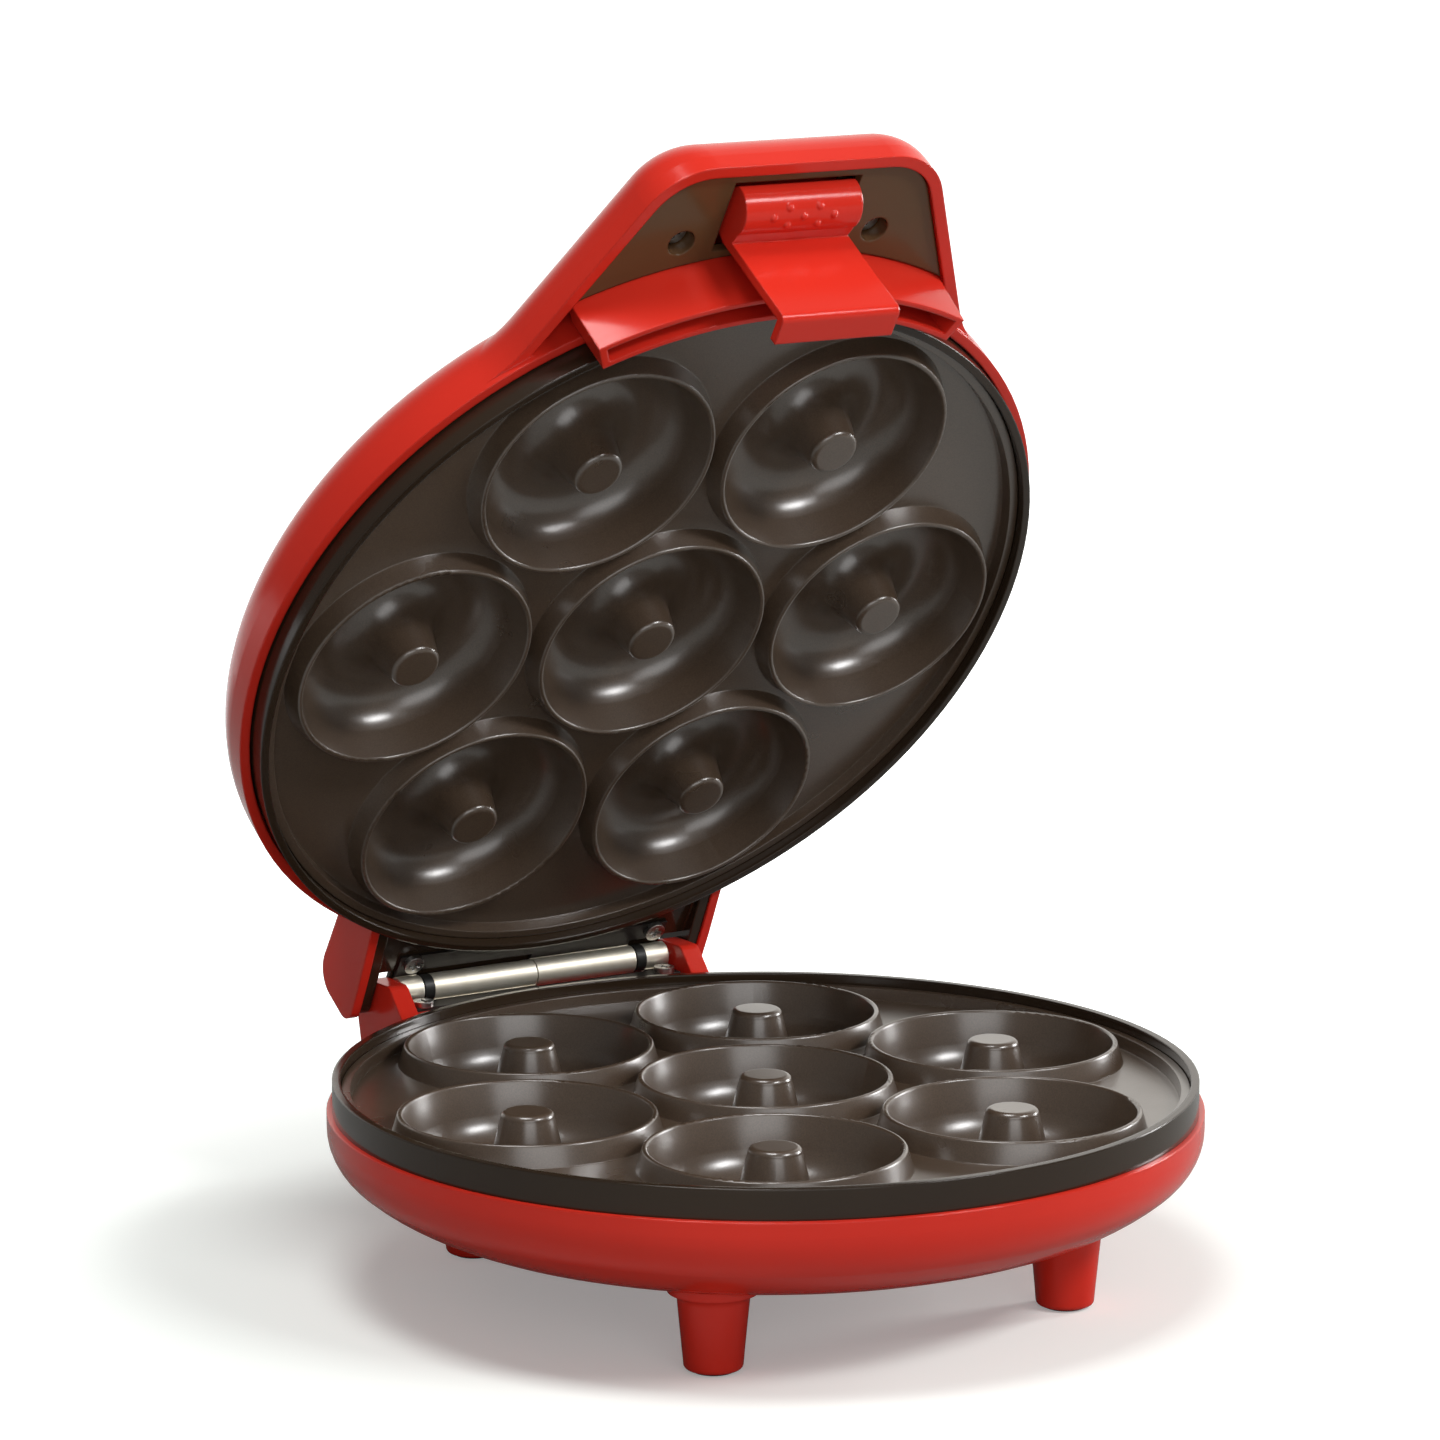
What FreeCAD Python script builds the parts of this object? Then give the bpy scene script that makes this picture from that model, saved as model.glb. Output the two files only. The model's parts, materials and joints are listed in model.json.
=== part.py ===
"""Donut maker: a round hinged press with seven ring cavities, a handle with a hooked latch and four feet.

Every piece is drawn with the lid shut, on the axis of the plates: z = 0 is the rim of the lower plate,
+Y runs back to the hinge and -Y forward to the handle. A lid piece is then swung open about the hinge,
and the whole model is set down with its feet on z = 0 and its origin under the middle of its box.
Lengths are millimetres and angles are degrees.
"""
import FreeCAD, Part
import math
import os
import re
import Sketcher
from FreeCAD import Placement, Rotation, Vector

SIZES = {
    # stance
    "parting_height": (50.0, "rim of the lower plate above the table"),
    "open_angle": (57.3, "how far the lid stands open"),
    "rim_gap": (1.0, "between the two rims when shut"),
    "fit_gap": (0.2, "between neighbouring mouldings"),
    # plates
    "cavity_gap": (1.6, "between the collars of neighbouring cavities"),
    "mouth_radius": (28.6, "cavity at its lip"),
    "lip_width": (1.2, "flat top of the lip"),
    "lip_drop": (0.25, "lip below the rim"),
    "collar_run": (1.4, "foot of the collar outside the lip"),
    "cavity_depth": (15.2, "lip to the bottom of the ring"),
    "cavity_draft": (14.0, "lean of the cavity walls"),
    "post_radius": (4.8, "flat top of the middle post"),
    "post_round": (1.4, "rounded edge of the post"),
    "floor_drop": (5.5, "plate floor below the rim"),
    "plate_sheet": (2.0, "thickness of the plate"),
    "floor_margin": (1.4, "plate floor outside the outer collars"),
    "pan_wall": (1.2, "upright wall round the floor"),
    "flange_drop": (2.4, "plate flange below the rim"),
    "boss_offset": (10.0, "bosses outside the ring of cavity centres"),
    "boss_radius": (4.2, "bosses under the plate"),
    "short_boss": (5.5, "length of a boss for a clamp"),
    "screw_bore": (1.6, "hole in a boss"),
    # bezels
    "pan_gap": (0.3, "between the plate and the bezel"),
    "band_lip": (1.95, "thickness of the band's edge"),
    "band_height": (7.2, "band showing above the base shell"),
    "ledge_width": (1.1, "shelf that carries the plate flange"),
    "spigot_depth": (11.5, "foot of the bezel below the rim"),
    # base shell
    "base_step": (1.35, "base shell outside the band"),
    "base_room": (2.9, "between the heat shield and the floor of the base"),
    "base_corner": (13.0, "tighter bend of the bowl"),
    "base_turn": (50.0, "angle of the tighter bend"),
    "belly_radius": (45.0, "wider bend of the bowl"),
    "shell_wall": (2.4, "thickness of both shells"),
    "foot_across": (47.7, "foot from the middle, sideways"),
    "foot_along": (54.7, "foot from the middle, fore and aft"),
    "foot_top": (8.2, "radius of a foot at its root"),
    "foot_tip": (6.8, "radius of a foot at the table"),
    "foot_flare": (2.2, "rounded root of a foot"),
    "foot_round": (1.2, "rounded tip of a foot"),
    "base_screw_length": (14.0, "base screw under its head"),
    "pad_radius": (4.8, "rubber pad under a foot"),
    "pad_sheet": (2.0, "thickness of the pad"),
    "pad_proud": (0.5, "pad below the foot"),
    "post_size": (4.6, "screw posts in the base shell"),
    "screw_sink": (4.0, "radius of the sunk holes for the base screws"),
    # hinge
    "hinge_offset": (6.4, "hinge axis behind the lid shell"),
    "hinge_rise": (1.3, "hinge axis above the lower rim"),
    "knuckle_radius": (3.4, "outside of the hinge barrel"),
    "pin_radius": (1.8, "hinge pin"),
    "pin_play": (0.05, "running gap round the pin"),
    "leaf_sheet": (0.8, "thickness of the hinge leaves"),
    "leaf_half": (38.0, "half the length of the hinge"),
    "end_knuckle": (6.4, "length of an outer knuckle"),
    "washer_width": (2.7, "washer between knuckles"),
    "knuckle_gap": (0.3, "end play of each knuckle"),
    "leaf_reach": (9.0, "leaf in front of the axis"),
    "leaf_screw_across": (34.4, "leaf screws from the middle"),
    "leaf_screw_reach": (7.0, "leaf screws in front of the axis"),
    "leaf_screw_length": (7.0, "leaf screw under its head"),
    "tower_inner": (39.0, "inner face of a hinge tower"),
    "tower_sheet": (5.0, "thickness of a hinge tower"),
    "tower_rise": (3.3, "tower above the hinge axis"),
    "tower_front": (15.0, "foot of the tower in front of the axis"),
    "tower_back": (9.6, "tower behind the axis"),
    "block_back": (6.6, "hinge block behind the axis"),
    "inlet_radius": (6.0, "hole for the cord bush"),
    "inlet_drop": (16.0, "cord bush below the rim"),
    "bush_bore": (3.8, "bore of the cord bush"),
    "bush_flange": (2.0, "flange of the cord bush"),
    # lid shell
    "lid_step": (2.85, "lid shell outside the band"),
    "lid_edge": (5.8, "edge of the lid shell back from its rim"),
    "lid_room": (0.3, "between the shield screws and the roof of the lid"),
    "lid_corner": (15.0, "bend at the shoulder of the lid"),
    "lid_turn": (74.0, "angle of the shoulder bend"),
    "cheek_inner": (47.5, "inner face of the lid's hinge cheeks"),
    "cheek_back": (8.4, "cheek behind the hinge axis"),
    "cheek_top": (17.0, "cheek above the hinge axis"),
    "cheek_lining": (2.9, "dark lining inside the cheeks"),
    "swing_gap": (0.5, "between the lid and the towers"),
    "cover_gap": (0.5, "between the hinge barrel and the cover behind it"),
    "cover_sheet": (1.5, "thickness of that cover"),
    "hinge_well": (2.6, "well under the hinge barrel"),
    # handle
    "handle_face": (8.3, "underside of the handle rim above the lower rim"),
    "handle_height": (17.0, "handle from its underside to its top"),
    "handle_length": (34.5, "end of the handle from the round lid"),
    "handle_taper": (26.3, "lean of the handle's sides"),
    "handle_spread": (39.5, "where the handle leaves the round lid"),
    "handle_blend": (30.0, "hollow between the lid and the handle"),
    "handle_corner": (18.0, "corners of the handle"),
    "handle_wall": (2.9, "wall of the handle"),
    "handle_step": (4.0, "step down at the edge of the handle's ceiling"),
    "handle_ledge": (5.0, "step in at the edge of the handle's ceiling"),
    "insert_recess": (1.3, "insert set back from the rim"),
    "insert_sheet": (2.4, "thickness of the insert"),
    "screw_cup": (3.6, "depth of the screw cups behind the insert"),
    "ear_sheet": (3.5, "ears that carry the latch pin"),
    "handle_screw_across": (25.8, "handle screws from the middle"),
    "handle_screw_inset": (22.1, "handle screws from the end of the handle"),
    "handle_screw_length": (5.5, "handle screw under its head"),
    # guard
    "guard_depth": (6.6, "guard outside the lid shell at its tip"),
    "guard_lean": (1.5, "how much deeper the guard is at the handle"),
    "guard_drop": (4.7, "tip of the guard below the lower rim"),
    "guard_wall": (1.3, "wall of the guard"),
    "guard_cap_turn": (1.0, "closed end of the guard"),
    # latch
    "latch_half": (15.5, "half the width of the latch"),
    "latch_inset": (17.0, "latch pivot from the end of the handle"),
    "latch_pivot_rise": (13.6, "latch pivot above the lower rim"),
    "latch_pin": (1.5, "radius of the latch pin"),
    "latch_barrel": (3.3, "barrel round the latch pin"),
    "latch_sheet": (2.2, "thickness of the latch"),
    "latch_drop": (34.8, "pivot to the underside of the hook"),
    "latch_lip": (7.6, "how far the hook reaches in"),
    "roll_reach": (10.0, "finger roll in front of the pivot"),
    "roll_fullness": (1.09, "bend of the finger roll, against a half round"),
    "notch_gap": (1.3, "room beside the latch"),
    "crease_drop": (9.2, "crease above the roll, below the pivot"),
    "crease_out": (0.5, "that crease in front of the pivot"),
    "roll_drop": (3.6, "end of the roll below the pivot"),
    "dot_radius": (1.1, "round of a grip dot on the roll"),
    "dot_sink": (0.5, "middle of that round inside the roll"),
    "dot_pitch": (8.0, "between the grip dots of a row"),
    # heating
    "tube_radius": (3.25, "tubular heating element"),
    "tube_gap_turn": (15.0, "half the gap between the element's ends"),
    "tube_pin": (1.5, "radius of the element's end pins"),
    "tube_pin_length": (9.0, "length of the end pins"),
    "clamp_sheet": (1.0, "thickness of a clamp"),
    "clamp_width": (8.0, "width of a clamp"),
    "clamp_screw_length": (4.5, "clamp screw under its head"),
    "shield_screw_length": (10.0, "shield screw under its head"),
    "shield_gap": (0.45, "between the clamps and the heat shield"),
    "shield_sheet": (0.8, "thickness of the heat shield"),
    "shield_slope": (18.6, "sloped edge of the heat shield, in plan"),
    "thermostat_radius": (7.0, "thermostat can"),
    "thermostat_height": (6.0, "thermostat can"),
    "fuse_radius": (2.0, "thermal fuse"),
    "fuse_length": (11.0, "thermal fuse"),
    "fuse_across": (22.0, "thermal fuse from the middle"),
    # indicators
    "lens_radius": (3.2, "indicator lens"),
    "lens_across": (8.0, "lens from the middle"),
    "lens_inset": (42.0, "lens from the edge of the lid"),
    "lens_proud": (0.9, "lens above the lid"),
}
RING_CAVITIES = 6
SCREW_HEAD = 1.4
CROSS_LENGTH = 1.2
CROSS_WIDTH = 0.3
CROSS_DEPTH = 0.6
LEAF_SCREW_HEAD = 2.6
LENS_LENGTH = 4.4
LENS_ROUND = 0.8
LAMP_LENGTH = 2.6
DOT_ROWS = [(-83, 2), (-104, 3), (-126, 2)]

# Sizes that follow from others, from the cavities outwards. A later one may use an earlier one.
BOSS_SCREW_HEAD = "(post_size - 1.6)"
COLLAR = "(mouth_radius + lip_width + collar_run)"
DERIVED = {
    "cavity_pitch": f"(2 * {COLLAR} + cavity_gap)",
    "boss_circle": "(cavity_pitch + boss_offset)",
    "floor_radius": f"(cavity_pitch + {COLLAR} + floor_margin)",
    "band_radius": "(floor_radius + pan_wall + pan_gap + ledge_width + band_lip)",
    "base_radius": "(band_radius + base_step)",
    "lid_radius": "(band_radius + lid_step)",
    "hinge_back": "(lid_radius + hinge_offset)",
    "handle_reach": "(lid_radius + handle_length)",
    "handle_screw_reach": "(handle_reach - handle_screw_inset)",
    "latch_pivot_reach": "(handle_reach - latch_inset)",
    "guard_tip_radius": "(lid_radius + guard_depth)",
    "guard_top_radius": "(guard_tip_radius + guard_lean)",
    "lens_reach": "(lid_radius - lens_inset)",
    "tube_low": "(lip_drop + cavity_depth + plate_sheet + 2 * tube_radius)",
    "shield_drop": "(tube_low + clamp_sheet + shield_gap)",
    "shield_rim": "floor_radius",
    "shield_flat": "(shield_rim - shield_slope)",
    "base_wall": "(shield_drop + shield_sheet + base_room + shell_wall - band_height - belly_radius"
                 " + (belly_radius - base_corner) * sin(base_turn))",
    "lid_belly": "(lid_corner + (lid_radius - lid_corner) / cos(lid_turn))",
    "lid_wall": f"(shield_drop + shield_sheet + {SCREW_HEAD} + lid_room - lid_edge"
                " + (lid_belly - lid_corner) * sin(lid_turn)"
                f" - sqrt((lid_belly - shell_wall)^2 - (boss_circle + {BOSS_SCREW_HEAD})^2))",
}

doc = FreeCAD.newDocument("donut_maker")
sheet = doc.addObject("Spreadsheet::Sheet", "Sizes")
for row, (alias, (value, note)) in enumerate(SIZES.items(), 1):
    sheet.set(f"A{row}", note)
    sheet.set(f"B{row}", str(value))
    sheet.setAlias(f"B{row}", alias)
for row, (alias, text) in enumerate(DERIVED.items(), len(SIZES) + 1):
    sheet.set(f"B{row}", f"={text}")
    sheet.setAlias(f"B{row}", alias)
doc.recompute()


def bound(text):
    """An expression in which every size is read from the sheet."""
    def placed(word):
        return f"Sizes.{word[0]}" if word[0] in SIZES or word[0] in DERIVED else word[0]
    return re.sub(r"[a-z_]+", placed, str(text))


def size(text):
    """The number that an expression of sizes gives now."""
    return float(sheet.evalExpression(bound(text)))


def origin(body, role):
    return next(feature for feature in body.Origin.OriginFeatures if feature.Role == role)


def new_body(label):
    body = doc.addObject("PartDesign::Body", label)
    body.Label = label
    return body


def new_sketch(body, plane, offset):
    """A sketch on one of the body's own planes, moved by an offset along its own axes."""
    sketch = body.newObject("Sketcher::SketchObject", f"{body.Label}_sketch")
    sketch.AttachmentSupport = [(origin(body, plane), "")]
    sketch.MapMode = "FlatFace"
    for axis, text in zip("xyz", offset):
        if text != "0":
            sketch.setExpression(f"AttachmentOffset.Base.{axis}", bound(text))
    return sketch


def dimension(sketch, kind, items, text):
    """One driving dimension of a sketch, bound to an expression."""
    number = sketch.addConstraint(Sketcher.Constraint(kind, *items, size(text)))
    sketch.setExpression(f"Constraints[{number}]", bound(text))


def outline(body, plane, corners, offset=("0", "0", "0")):
    """A closed outline. A corner is (x, y), or (x, y, radius, side) where an arc whose centre lies
    on that side of the way leads to it."""
    sketch = new_sketch(body, plane, offset)
    spots = [Vector(size(corner[0]), size(corner[1]), 0) for corner in corners]
    ends = []
    for here, there, corner in zip(spots, spots[1:] + spots[:1], corners[1:] + corners[:1]):
        if len(corner) == 2:
            sketch.addGeometry(Part.LineSegment(here, there))
            ends.append((1, 2))
            continue
        radius, left = size(corner[2]), corner[3] == "left"
        chord = there - here
        across = Vector(-chord.y, chord.x, 0).normalize() * (1 if left else -1)
        middle = (here + there) * 0.5 + across * math.sqrt(max(radius**2 - chord.Length**2 / 4, 0))
        turns = [math.atan2(p.y - middle.y, p.x - middle.x) for p in (here, there)]
        if not left:
            turns.reverse()
        arc = sketch.addGeometry(Part.ArcOfCircle(Part.Circle(middle, Vector(0, 0, 1), radius), *turns))
        dimension(sketch, "Radius", (arc,), corner[2])
        ends.append((1, 2) if left else (2, 1))
    for side, corner in enumerate(corners):
        following = (side + 1) % len(corners)
        joined = (side, ends[side][1], following, ends[following][0])
        sketch.addConstraint(Sketcher.Constraint("Coincident", *joined))
        dimension(sketch, "DistanceX", (-1, 1, side, ends[side][0]), corner[0])
        dimension(sketch, "DistanceY", (-1, 1, side, ends[side][0]), corner[1])
    return sketch


def circles(body, plane, rounds, offset=("0", "0", "0")):
    """A sketch of circles, each (x, y, radius)."""
    sketch = new_sketch(body, plane, offset)
    for x, y, radius in rounds:
        circle = sketch.addGeometry(Part.Circle(Vector(size(x), size(y), 0), Vector(0, 0, 1), size(radius)))
        dimension(sketch, "Radius", (circle,), radius)
        dimension(sketch, "DistanceX", (-1, 1, circle, 3), x)
        dimension(sketch, "DistanceY", (-1, 1, circle, 3), y)
    return sketch


def rounds_at(body, spots, radius, height):
    """Circles of one radius at spots in plan, at a height."""
    return circles(body, "XY_Plane", [(x, y, radius) for x, y in spots], ("0", "0", height))


def feature(body, kind, sketch, **settings):
    """A feature on a sketch. A setting given as text is bound to the sheet."""
    made = body.newObject(f"PartDesign::{kind}", f"{body.Label}_{kind.lower()}")
    made.Profile = sketch
    if kind in ("Revolution", "Groove"):
        made.ReferenceAxis = (sketch, ["V_Axis"])
        made.Angle = 360
    for name, setting in settings.items():
        if isinstance(setting, str):
            made.setExpression(name, bound(setting))
        else:
            setattr(made, name, setting)
    before = body.Tip.BaseFeature.Shape.Volume if getattr(body.Tip, "BaseFeature", None) else 0
    doc.recompute()
    if kind in ("Groove", "Pocket") and made.Shape.Volume >= before:
        raise RuntimeError(f"{made.Label} cuts nothing")
    return made


def ring(body, features, count):
    """Copies of features evenly round the plate axis."""
    pattern = body.newObject("PartDesign::PolarPattern", f"{body.Label}_ring")
    pattern.Originals = features
    pattern.Axis = (origin(body, "Z_Axis"), [""])
    pattern.Angle = 360
    pattern.Occurrences = count
    body.Tip = pattern
    doc.recompute()
    return pattern


def solid(label, shape):
    """A sub-part whose shape is put together from primitives."""
    made = doc.addObject("Part::Feature", label)
    made.Label = label
    made.Shape = shape
    return made


def cylinder(radius, start, length, along=Vector(0, 0, 1)):
    return Part.makeCylinder(radius, length, start, along)


def screw(spot, along, length, head, shank):
    """A cross-head screw whose head lies under a seat at a spot, its shank running up or down."""
    body = cylinder(shank, spot, length, along)
    body = body.fuse(cylinder(head, spot - along * SCREW_HEAD, SCREW_HEAD, along)).removeSplitter()
    wide, narrow, deep = CROSS_LENGTH * head, CROSS_WIDTH * head, CROSS_DEPTH * SCREW_HEAD
    outer = spot - along * (SCREW_HEAD - deep / 2)
    for x, y in ((wide, narrow), (narrow, wide)):
        body = body.cut(Part.makeBox(x, y, deep, outer - Vector(x, y, deep) / 2))
    return body


def around(radius, turn, z):
    """A point at an angle round the plate axis."""
    return Vector(radius * math.cos(math.radians(turn)), radius * math.sin(math.radians(turn)), z)


LONG_TURNS = [30, 150, 270]
SHORT_TURNS = [90, 210, 330]
UP = Vector(0, 0, 1)
SIDEWAYS = Vector(1, 0, 0)
BACKWARDS = Vector(0, 1, 0)


# Ring cavity: a channel with leaning walls on a round bottom, between the post and the lip
post_edge = "(post_radius + post_round * (1 - tan(cavity_draft)))"
channel_mid = f"((mouth_radius + {post_edge}) / 2)"
channel_half = f"((mouth_radius - {post_edge}) / 2)"
bend_share = "(1 / cos(cavity_draft) - tan(cavity_draft))"
channel_bend = f"(({channel_half} - cavity_depth * tan(cavity_draft)) / {bend_share})"
channel_centre = f"({channel_bend} - lip_drop - cavity_depth)"
bend_run = f"{channel_bend} * cos(cavity_draft)"
bend_start = f"{channel_centre} - {channel_bend} * sin(cavity_draft)"
under_bend = f"({channel_bend} + plate_sheet)"
collar_radius = COLLAR
under_floor = "(-floor_drop - plate_sheet)"
flange_radius = "(band_radius - band_lip - fit_gap)"
cavity_profile = [
    ("0", "-lip_drop"),
    ("post_radius", "-lip_drop"),
    ("post_radius + post_round", "-lip_drop - post_round", "post_round", "right"),
    (f"{channel_mid} - {bend_run}", bend_start),
    (f"{channel_mid} + {bend_run}", bend_start, channel_bend, "left"),
    ("mouth_radius", "-lip_drop - lip_width / 2"),
    ("mouth_radius + lip_width", "-lip_drop - lip_width / 2", "0.55 * lip_width", "right"),
    (collar_radius, "-floor_drop"),
    (collar_radius, under_floor),
    (f"{channel_mid} + sqrt({under_bend}^2 - ({under_floor} - {channel_centre})^2)", under_floor),
    (channel_mid, f"{channel_centre} - {under_bend}", under_bend, "right"),
    (f"{channel_mid} - {under_bend}", channel_centre, under_bend, "right"),
    ("post_radius - 0.7 * plate_sheet", "-lip_drop - plate_sheet"),
    ("0", "-lip_drop - plate_sheet"),
]


def plate(label):
    """A cast plate: a shallow pan with one cavity in the middle and a ring of them round it."""
    body = new_body(label)
    feature(body, "Revolution", outline(body, "XZ_Plane", [
        ("0", "-floor_drop"),
        ("floor_radius", "-floor_drop"),
        ("floor_radius + pan_wall / 4", "-flange_drop"),
        (flange_radius, "-flange_drop"),
        (flange_radius, "-flange_drop - plate_sheet"),
        ("floor_radius + pan_wall", "-flange_drop - plate_sheet"),
        ("floor_radius + pan_wall", under_floor),
        ("0", under_floor),
    ]))
    holes = [("0", "0")]
    for number in range(RING_CAVITIES):
        turn = 360 / RING_CAVITIES * number
        holes.append((f"cavity_pitch * cos({turn})", f"cavity_pitch * sin({turn})"))
    opening = circles(body, "XY_Plane", [(x, y, f"{collar_radius} - collar_run / 2") for x, y in holes])
    feature(body, "Pocket", opening, Length="floor_drop + plate_sheet + 1")
    feature(body, "Revolution", outline(body, "XZ_Plane", cavity_profile))
    outer = feature(body, "Revolution", outline(body, "XZ_Plane", cavity_profile, ("cavity_pitch", "0", "0")))
    ring(body, [outer], RING_CAVITIES)
    for turns, foot in ((SHORT_TURNS, f"{under_floor} - short_boss"), (LONG_TURNS, "-shield_drop")):
        spots = [(f"boss_circle * cos({turn})", f"boss_circle * sin({turn})") for turn in turns]
        root = f"{under_floor} + plate_sheet / 2"
        for radius, kind in (("boss_radius", "Pad"), ("screw_bore", "Pocket")):
            rounds = rounds_at(body, spots, radius, root)
            feature(body, kind, rounds, Length=f"{root} - ({foot})", Reversed=kind == "Pad")
    return body


def heating_element(label):
    """A bent tube that lies under the ring of cavities, open at the back, with a pin at each end."""
    height = size("-lip_drop - cavity_depth - plate_sheet - tube_radius")
    gap = size("tube_gap_turn")
    start = around(size("cavity_pitch"), 90 + gap, height)
    section = Part.Wire(Part.Circle(start, around(1, 180 + gap, 0), size("tube_radius")).toShape())
    tube = Part.Face(section).revolve(Vector(), UP, 360 - 2 * gap)
    for side in (1, -1):
        end = around(size("cavity_pitch"), 90 + side * gap, height)
        along = around(1, 90 + side * gap - side * 90, 0)
        tube = tube.fuse(cylinder(size("tube_pin"), end - along, size("tube_pin_length") + 1, along))
    return solid(label, tube)


def clamps(label):
    """Stepped straps, one from each short boss but the rear one, that hold the element up."""
    tube_low = size("-lip_drop - cavity_depth - plate_sheet - 2 * tube_radius")
    boss_low = size(f"{under_floor} - short_boss")
    sheet_now = size("clamp_sheet")
    inner, outer = size("cavity_pitch - 1.6 * tube_radius"), size("boss_circle + boss_radius")
    web = size("cavity_pitch + 1.4 * tube_radius")
    corners = [(outer, boss_low), (outer, boss_low - sheet_now), (web + sheet_now, boss_low - sheet_now),
               (web + sheet_now, tube_low - sheet_now), (inner, tube_low - sheet_now), (inner, tube_low),
               (web, tube_low), (web, boss_low)]
    width = size("clamp_width")
    points = [Vector(x, -width / 2, z) for x, z in corners]
    strap = Part.Face(Part.makePolygon(points + points[:1])).extrude(BACKWARDS * width)
    hole = Vector(size("boss_circle"), 0, boss_low - 2 * sheet_now)
    strap = strap.cut(cylinder(size("screw_bore"), hole, 4 * sheet_now))
    copies = []
    for turn in SHORT_TURNS[1:]:
        copies.append(strap.rotated(Vector(), UP, turn))
    return solid(label, Part.makeCompound(copies))


def boss_screws(label, turns, seat, length):
    """Screws driven up into the bosses of a plate."""
    circle, head, shank = size("boss_circle"), size(BOSS_SCREW_HEAD), size("screw_bore - pin_play")
    made = [screw(around(circle, turn, seat), UP, length, head, shank) for turn in turns]
    return solid(label, Part.makeCompound(made))


def heat_shield(label):
    """A shallow tray whose rim lies on the foot of the bezel."""
    body = new_body(label)
    feature(body, "Revolution", outline(body, "XZ_Plane", [
        ("0", "-shield_drop"),
        ("shield_flat", "-shield_drop"),
        ("shield_rim", "-spigot_depth"),
        (f"{flange_radius} + fit_gap", "-spigot_depth"),
        (f"{flange_radius} + fit_gap", "-spigot_depth - shield_sheet"),
        ("shield_rim + shield_sheet / 2", "-spigot_depth - shield_sheet"),
        ("shield_flat + shield_sheet / 2", "-shield_drop - shield_sheet"),
        ("0", "-shield_drop - shield_sheet"),
    ]))
    spots = [(f"boss_circle * cos({turn})", f"boss_circle * sin({turn})", "screw_bore") for turn in LONG_TURNS]
    feature(body, "Pocket", circles(body, "XY_Plane", spots), Length="shield_drop + 2 * shield_sheet")
    return body


def band_profile(foot_radius):
    """Half-section of a bezel: the band, the shelf for the plate and a foot below it."""
    return [
        ("band_radius", "0"),
        ("band_radius - band_lip", "0"),
        ("band_radius - band_lip", "-flange_drop - plate_sheet"),
        ("band_radius - band_lip - ledge_width", "-flange_drop - plate_sheet"),
        ("band_radius - band_lip - ledge_width", "-spigot_depth"),
        (foot_radius, "-spigot_depth"),
        (foot_radius, "-band_height"),
        ("band_radius", "-band_height"),
    ]


def bowl(radius, edge, upright, corner, turn, belly, up, inset):
    """Half-section of a shell from the foot of its upright wall to its middle: a tight bend, a wide one."""
    sign, side = ("+", "left") if up else ("-", "right")
    opposite = "-" if up else "+"
    bend_x, bend_z = f"({radius} - {corner})", f"({edge} {sign} {upright})"
    wide_x = f"({bend_x} - ({belly} - {corner}) * cos({turn}))"
    wide_z = f"({bend_z} {opposite} ({belly} - {corner}) * sin({turn}))"
    tight = f"({corner} - {inset})"
    wide = f"({belly} - {inset})"
    return [
        (f"{radius} - {inset}", bend_z),
        (f"{bend_x} + {tight} * cos({turn})", f"{bend_z} {sign} {tight} * sin({turn})", tight, side),
        (wide_x, f"{wide_z} {sign} {wide}", wide, side),
    ]


base_bowl = ("base_radius", "-band_height", "base_wall", "base_corner", "base_turn", "belly_radius", False)
base_bottom = f"({bowl(*base_bowl, '0')[-1][1]})"
leaf_seat = "(hinge_rise - knuckle_radius)"
barrel_front = "(hinge_back - knuckle_radius - swing_gap)"
tower_outer = "(tower_inner + tower_sheet)"
bowl_inside = "(base_radius - base_corner)"
handle_screws = [(x, "-handle_screw_reach") for x in ("handle_screw_across", "-handle_screw_across")]
leaf_screws = [(x, "hinge_back - leaf_screw_reach") for x in ("leaf_screw_across", "-leaf_screw_across")]
lenses = [(x, "-lens_reach") for x in ("lens_across", "-lens_across")]


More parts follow.
